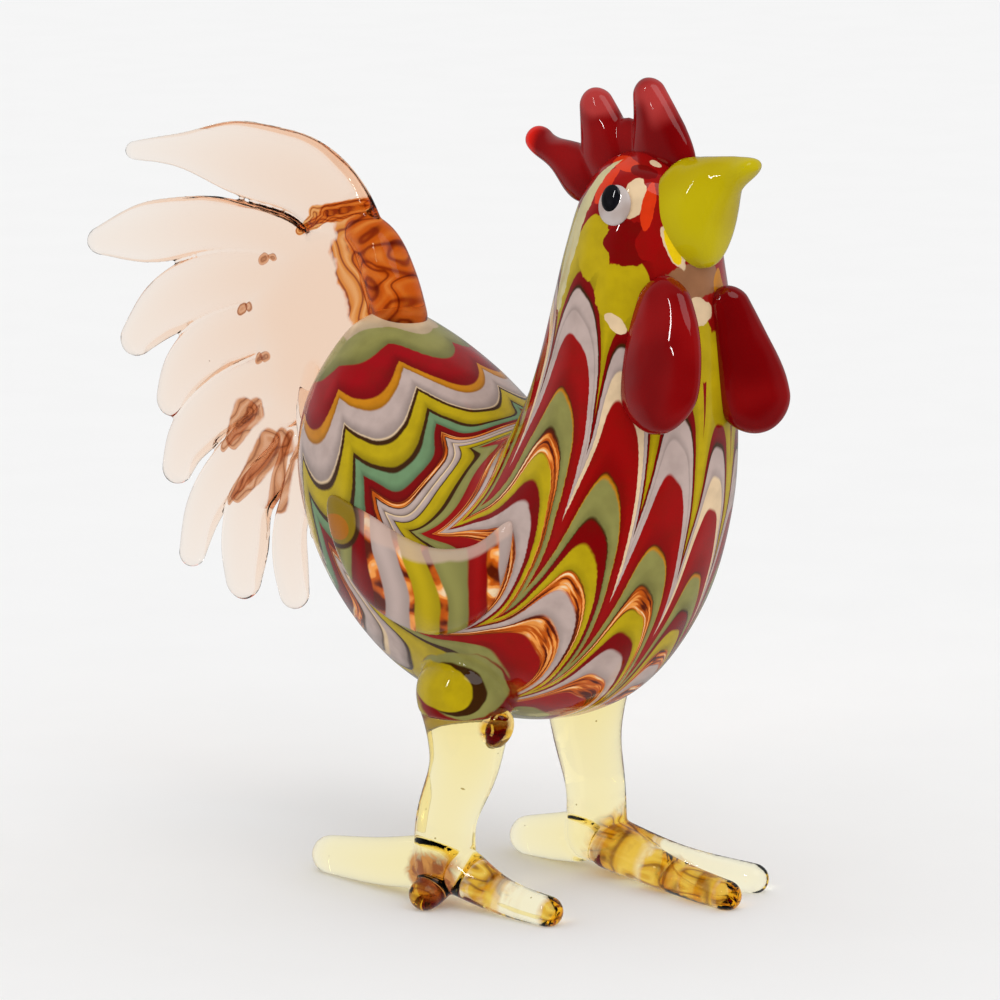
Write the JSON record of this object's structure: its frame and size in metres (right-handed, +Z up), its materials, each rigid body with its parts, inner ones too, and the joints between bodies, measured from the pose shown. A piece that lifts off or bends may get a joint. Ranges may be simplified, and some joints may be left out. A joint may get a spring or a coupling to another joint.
{
  "type": "glass rooster figurine",
  "caption": "Standing rooster ornament in hot-worked glass with a blown patterned body, fanned tail, comb, beak, wattles, wings, legs and toes fused on.",
  "frame": {"origin": "on the ground, below the middle of the bird's length and width", "axes": "-Y towards the beak, +X to the bird's left, +Z up"},
  "size_m": [0.049, 0.1434, 0.1297],
  "materials": {
    "patterned_glass": "fire-polished blown glass with combed bands of colour",
    "tail_glass": "fire-polished pale peach glass with amber swirls at the roots",
    "comb_glass": "fire-polished deep red glass",
    "beak_glass": "fire-polished opaque mustard-yellow glass",
    "eye_glass": "fire-polished opaque greyish white glass",
    "pupil_glass": "fire-polished opaque black glass",
    "wing_glass": "fire-polished glass with upright coloured stripes",
    "leg_glass": "fire-polished pale straw glass with amber at the toes"
  },
  "bodies": {
    "root": {"body_shell": "patterned_glass", "tail_root": "tail_glass", "tail_feather_1": "tail_glass", "tail_feather_2": "tail_glass", "tail_feather_3": "tail_glass", "tail_feather_4": "tail_glass", "tail_feather_5": "tail_glass", "tail_feather_6": "tail_glass", "tail_feather_7": "tail_glass", "tail_feather_8": "tail_glass", "comb_front_lobe": "comb_glass", "comb_middle_lobe": "comb_glass", "comb_rear_lobe": "comb_glass", "beak": "beak_glass", "right_wattle": "comb_glass", "right_eye_white": "eye_glass", "right_pupil": "pupil_glass", "right_wing": "wing_glass", "right_leg": "leg_glass", "right_hind_toe": "leg_glass", "right_inner_toe": "leg_glass", "right_outer_toe": "leg_glass", "left_wattle": "comb_glass", "left_eye_white": "eye_glass", "left_pupil": "pupil_glass", "left_wing": "wing_glass", "left_leg": "leg_glass", "left_hind_toe": "leg_glass", "left_inner_toe": "leg_glass", "left_outer_toe": "leg_glass"}
  },
  "joints": []
}
